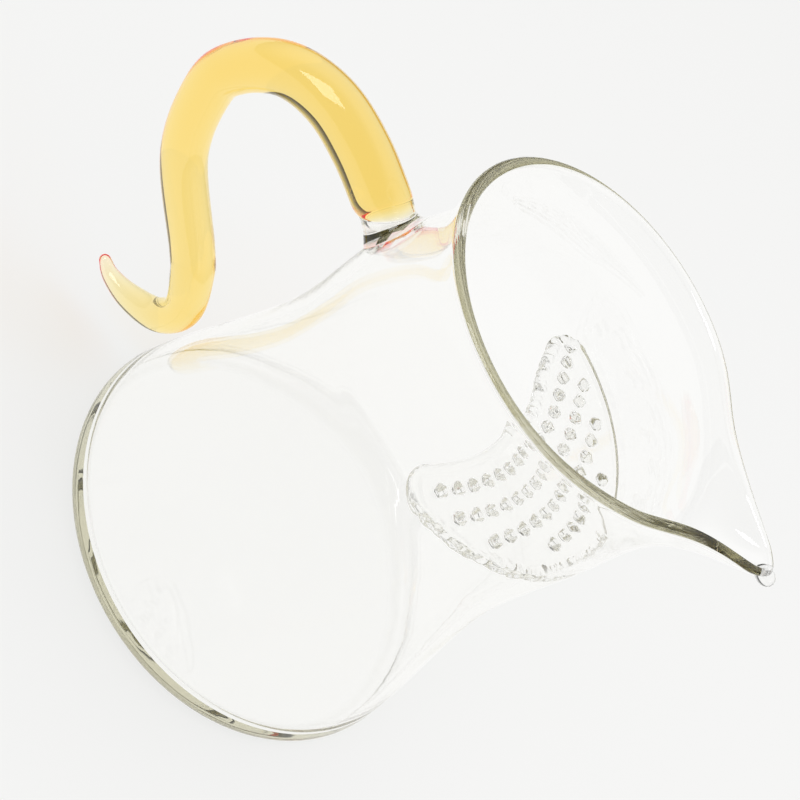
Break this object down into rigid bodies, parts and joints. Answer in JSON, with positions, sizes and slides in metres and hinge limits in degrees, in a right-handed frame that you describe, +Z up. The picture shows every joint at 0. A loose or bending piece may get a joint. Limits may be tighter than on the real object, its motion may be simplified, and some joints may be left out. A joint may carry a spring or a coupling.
{
  "type": "tea fairness pitcher",
  "caption": "Blown clear glass tea pitcher with a drawn beak, a pierced strainer across the neck and an amber rod handle that curls at its end.",
  "frame": {"origin": "centre of the flat underside of the base, on the plane that the pitcher stands on", "axes": "+Z up through the mouth, +X towards the tip of the beak, with the handle on the -X side"},
  "size_m": [0.129, 0.0862, 0.0993],
  "materials": {
    "vessel": "clear, fire polished",
    "strainer": "clear, pierced",
    "handle_seal": "clear, fire polished",
    "handle": "amber, polished"
  },
  "bodies": {
    "root": {"vessel": "vessel", "strainer": "strainer", "handle_seal": "handle_seal", "handle": "handle"}
  },
  "joints": []
}
